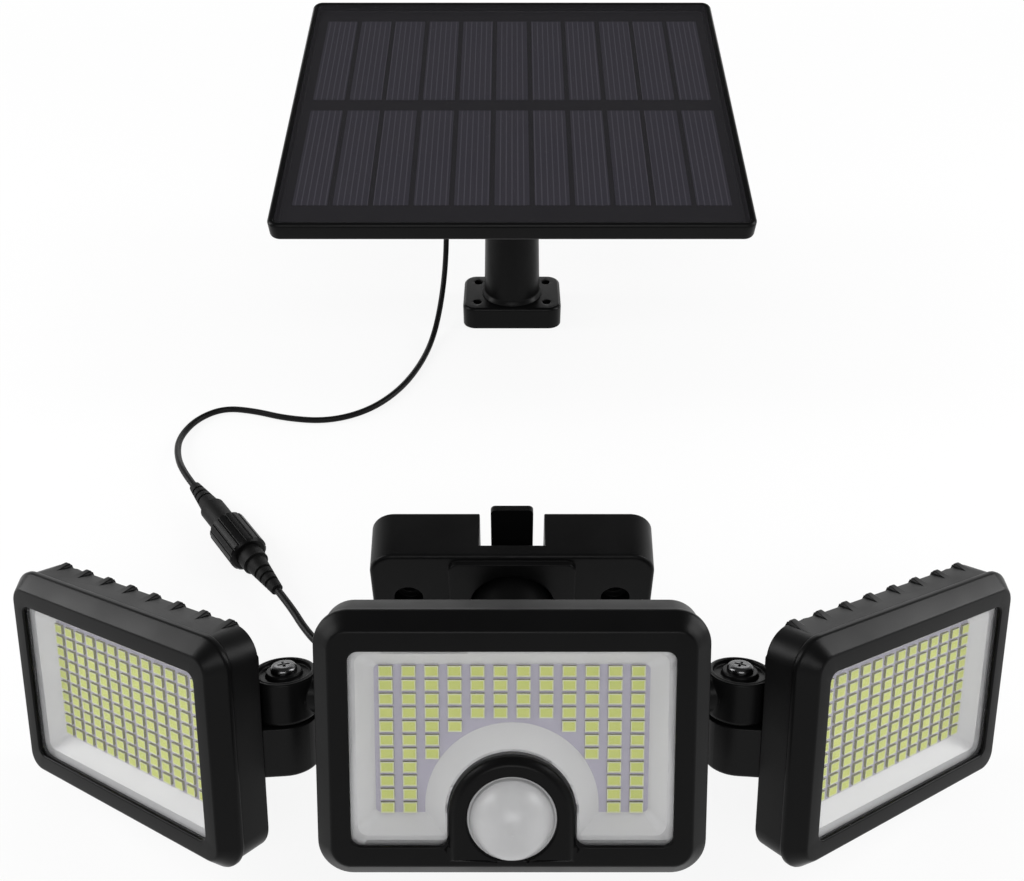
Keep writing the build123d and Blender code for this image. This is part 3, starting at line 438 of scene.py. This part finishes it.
FRAME_EDGE = 0.0004
FINGER_PITCH = 0.0027
FINGER_CORE = 0.0001
FINGER_FADE = 0.00036
FINGER_SHARE = 0.42
FINGER_SILVER = (0.23, 0.215, 0.265)
CELL_VIOLET = (0.034, 0.032, 0.052)
CELL_GREY = (0.047, 0.043, 0.058)
CELL_CLOUD_SCALE = 34.0
softened("panel_frame", smooth_moulding, "panel", FRAME_EDGE)


def silicon(name):
    """Dark violet silicon with fine lengthwise fingers and slow changes of tone."""
    finish, tree, skin = bare_finish(name)
    skin.inputs["Roughness"].default_value = 0.4
    skin.inputs["Specular IOR Level"].default_value = 0.3
    place = tree.nodes.new("ShaderNodeTexCoord")
    parts = tree.nodes.new("ShaderNodeSeparateXYZ")
    pitch = tree.nodes.new("ShaderNodeMath")
    pitch.operation = "PINGPONG"
    pitch.inputs[1].default_value = FINGER_PITCH / 2
    tree.links.new(place.outputs["Object"], parts.inputs["Vector"])
    tree.links.new(parts.outputs["X"], pitch.inputs[0])
    cloud = noise(tree, CELL_CLOUD_SCALE, detail=2.0)
    fingers = tree.nodes.new("ShaderNodeMix")
    fingers.data_type = "RGBA"
    fingers.inputs["B"].default_value = (*FINGER_SILVER, 1.0)
    line = spread(tree, pitch.outputs["Value"], FINGER_SHARE, 0.0, FINGER_CORE, FINGER_FADE)
    tree.links.new(line, fingers.inputs["Factor"])
    tree.links.new(two_tone(tree, cloud, CELL_VIOLET, CELL_GREY), fingers.inputs["A"])
    tree.links.new(fingers.outputs["Result"], skin.inputs["Base Color"])
    return finish


panel_sheet = clear_skin("panel_glass", (0.034, 0.032, 0.038), see_through=0.26, rough=0.42, gloss=0.3)
paint("solar_cells", silicon("silicon"))
paint("panel_glass", panel_sheet)

# Underside of the panel: a screwed bracket with two lugs, a junction box and a cord gland.
# All are the same black plastic; the gland's nut grips the cord.

BRACKET_EDGE = 0.0003
softened("panel_bracket", black_moulding, "panel", BRACKET_EDGE)
softened("junction_box", black_moulding, "panel", BRACKET_EDGE)
paint("panel_gland", smooth_moulding)

# Post and foot: a tapered column with a flared root on a square screwed foot.
# Both are black mouldings; the foot's upper edge is chamfered.

POST_EDGE = 0.0004
FOOT_EDGE = 0.0005
softened("panel_post", smooth_moulding, "base", POST_EDGE)
softened("panel_foot", smooth_moulding, "base", FOOT_EDGE)

# Cords: a thin black lead from the panel to the screwed connector, and the lamp's own short lead.
# The sheath is smooth soft vinyl; the panel's lead hangs from its gland and then lies on the table.
# The lamp's lead leaves the base through a gland in its side wall.

CORD_WIDTH = 0.003
soft_vinyl = moulded_plastic(
    "soft_vinyl", (0.0035, 0.0035, 0.0036), (0.0055, 0.0055, 0.0056),
    smooth=0.36, rough=0.46, grain=0.05, gloss=0.13)


def cord_line(name, route, width):
    """A smooth spline whose control points are the route's points."""
    line = bpy.data.curves.new(name, "CURVE")
    line.dimensions = "3D"
    line.resolution_u = 10
    line.bevel_depth = width / 2
    line.bevel_resolution = 4
    line.use_fill_caps = True
    spline = line.splines.new("NURBS")
    spline.points.add(len(route) - 1)
    for knot, spot in zip(spline.points, route):
        knot.co = (*spot, 1.0)
    spline.order_u = 3
    spline.use_endpoint_u = True
    return bpy.data.objects.new(name, line)


panel_route = [
    (-0.0350, 0.24540, 0.06136), (-0.0350, 0.25041, 0.04304), (-0.0356, 0.2520, 0.0160),
    (-0.0368, 0.2460, -0.0060), (-0.0395, 0.2310, -0.0230), (-0.0430, 0.2090, -0.0310),
    (-0.0485, 0.1840, -0.0314), (-0.0575, 0.1620, -0.0314), (-0.0710, 0.1455, -0.0314),
    (-0.0890, 0.1375, -0.0314), (-0.1090, 0.1395, -0.0314), (-0.1270, 0.1460, -0.0314),
    (-0.1420, 0.1480, -0.0314), (-0.1530, 0.1390, -0.0313), (-0.1570, 0.1230, -0.0302),
    (-0.1530, 0.1060, -0.0272), (-0.1456, 0.0909, -0.0248), (-0.1380, 0.0810, -0.0248),
]
line_only = cord_line("panel_lead_line", panel_route, 0.0)
line_points = bpy.data.meshes.new_from_object(line_only)
tube = cord_line("panel_lead_tube", panel_route, CORD_WIDTH)
panel_lead = bpy.data.objects.new("panel_lead", bpy.data.meshes.new_from_object(tube))
bpy.context.scene.collection.objects.link(panel_lead)
for unused in (line_only, tube):
    bpy.data.objects.remove(unused)
bpy.data.meshes.remove(line_points)
panel_lead.data.materials.clear()
panel_lead.data.materials.append(soft_vinyl)
panel_lead.data.shade_smooth()
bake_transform(panel_lead)
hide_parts("panel_cord")

lamp_route = [
    (-0.0558, -0.0116, -0.0240), (-0.0628, -0.0116, -0.0240), (-0.0704, -0.0080, -0.0244),
    (-0.0773, 0.0004, -0.0247), (-0.0837, 0.0105, -0.0248), (-0.0910, 0.0200, -0.0248),
]
lamp_lead = cord_line("lamp_lead", lamp_route, CORD_WIDTH)
bpy.context.scene.collection.objects.link(lamp_lead)
lamp_lead.data.materials.append(soft_vinyl)
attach(lamp_lead, "base")
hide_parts("lamp_cord")
paint("base_gland", smooth_moulding)

# Connector: two rubber halves with ribbed strain reliefs, held by a ridged coupling nut.
# The halves are soft matt rubber, the nut a harder black plastic.

paint("plug_body", black_rubber)
paint("socket_body", black_rubber)
paint("coupling_nut", smooth_moulding)

# Studio: a white floor and white walls under a dim ceiling, lit by a tall soft light on each side.
# Lights in front and behind fill the shadows; the camera stands before the lamp and looks down at it.

FLOOR_REACH = 6.0
FLOOR_GLOW = 0.86
SHADOW_REACH = 0.4
SHADOW_END = 1.2
sweep = bmesh.new()
bmesh.ops.create_grid(sweep, x_segments=1, y_segments=1, size=FLOOR_REACH)
bmesh.ops.translate(sweep, verts=sweep.verts, vec=(0.0, 0.0, cad_box[0].z))
floor_mesh = bpy.data.meshes.new("studio_floor")
sweep.to_mesh(floor_mesh)
sweep.free()
floor = bpy.data.objects.new("studio_floor", floor_mesh)
bpy.context.scene.collection.objects.link(floor)


def larger(tree, one, other):
    """The larger of two values."""
    pick = tree.nodes.new("ShaderNodeMath")
    pick.operation = "MAXIMUM"
    tree.links.new(one, pick.inputs[0])
    tree.links.new(other, pick.inputs[1])
    return pick.outputs["Value"]


def passed_on(path, tree):
    """1 for a ray that metal, gloss or glass passes on, else 0."""
    return larger(tree, path.outputs["Is Glossy Ray"], path.outputs["Is Transmission Ray"])


white_floor, tree, surface = bare_finish("white_floor")
tree.nodes.remove(surface)
chalk = tree.nodes.new("ShaderNodeBsdfDiffuse")
chalk.inputs["Color"].default_value = (0.9, 0.9, 0.9, 1.0)
glow = tree.nodes.new("ShaderNodeEmission")
spot = tree.nodes.new("ShaderNodeTexCoord")
away = tree.nodes.new("ShaderNodeVectorMath")
away.operation = "LENGTH"
tree.links.new(spot.outputs["Object"], away.inputs[0])
floor_path = tree.nodes.new("ShaderNodeLightPath")
seen = larger(tree, floor_path.outputs["Is Camera Ray"], passed_on(floor_path, tree))
share = tree.nodes.new("ShaderNodeMath")
share.operation = "MULTIPLY"
fade = spread(tree, away.outputs["Value"], FLOOR_GLOW, 1.0, SHADOW_REACH, SHADOW_END)
tree.links.new(seen, share.inputs[0])
tree.links.new(fade, share.inputs[1])
blend = tree.nodes.new("ShaderNodeMixShader")
tree.links.new(share.outputs["Value"], blend.inputs["Fac"])
tree.links.new(chalk.outputs["BSDF"], blend.inputs[1])
tree.links.new(glow.outputs["Emission"], blend.inputs[2])
tree.links.new(blend.outputs["Shader"], tree.nodes["Material Output"].inputs["Surface"])
floor_mesh.materials.append(white_floor)

ROOM_LIGHT = 0.45
CEILING = 0.15
WALL_TOP = 0.12
CEILING_START = 0.55
surroundings = bpy.data.worlds.new("white_surroundings")
surroundings.use_nodes = True
bpy.context.scene.world = surroundings
tree = surroundings.node_tree
room = tree.nodes["Background"]
room.inputs["Color"].default_value = (1.0, 1.0, 1.0, 1.0)
toward = tree.nodes.new("ShaderNodeTexCoord")
height = tree.nodes.new("ShaderNodeSeparateXYZ")
tree.links.new(toward.outputs["Generated"], height.inputs["Vector"])
wall = spread(tree, height.outputs["Z"], 1.0, CEILING, WALL_TOP, CEILING_START)
room_path = tree.nodes.new("ShaderNodeLightPath")
level = tree.nodes.new("ShaderNodeMapRange")
level.inputs["To Min"].default_value = ROOM_LIGHT
tree.links.new(wall, level.inputs["To Max"])
tree.links.new(passed_on(room_path, tree), level.inputs["Value"])
strength = larger(tree, level.outputs["Result"], room_path.outputs["Is Camera Ray"])
tree.links.new(strength, room.inputs["Strength"])


def soft_light(name, place, width, depth, power):
    """A rectangular soft light that points at the middle of the lamp."""
    lamp = bpy.data.lights.new(name, "AREA")
    lamp.shape = "RECTANGLE"
    lamp.size = width
    lamp.size_y = depth
    lamp.energy = power
    holder = bpy.data.objects.new(name, lamp)
    holder.location = place
    holder.rotation_euler = (-Vector(place)).to_track_quat("-Z", "Y").to_euler()
    holder.visible_camera = False
    bpy.context.scene.collection.objects.link(holder)


soft_light("left_light", (-0.95, 0.18, 0.5), width=0.3, depth=0.8, power=6.0)
soft_light("right_light", (0.95, 0.18, 0.5), width=0.3, depth=0.8, power=6.0)
soft_light("front_light", (0.0, -1.0, 0.95), width=0.9, depth=0.4, power=6.0)
soft_light("back_light", (0.0, 1.3, 0.28), width=1.4, depth=0.4, power=3.0)

CAMERA_PLACE = (0.0, -0.2497, 0.2592)
CAMERA_PITCH = math.radians(52.0)
view = bpy.data.cameras.new("view")
view.sensor_width = 36.0
view.lens = 35.156
view.clip_start = 0.01
camera = bpy.data.objects.new("view", view)
camera.location = CAMERA_PLACE
camera.rotation_euler = (CAMERA_PITCH, 0.0, 0.0)
bpy.context.scene.collection.objects.link(camera)
bpy.context.scene.camera = camera
bpy.context.scene.view_settings.view_transform = "Standard"
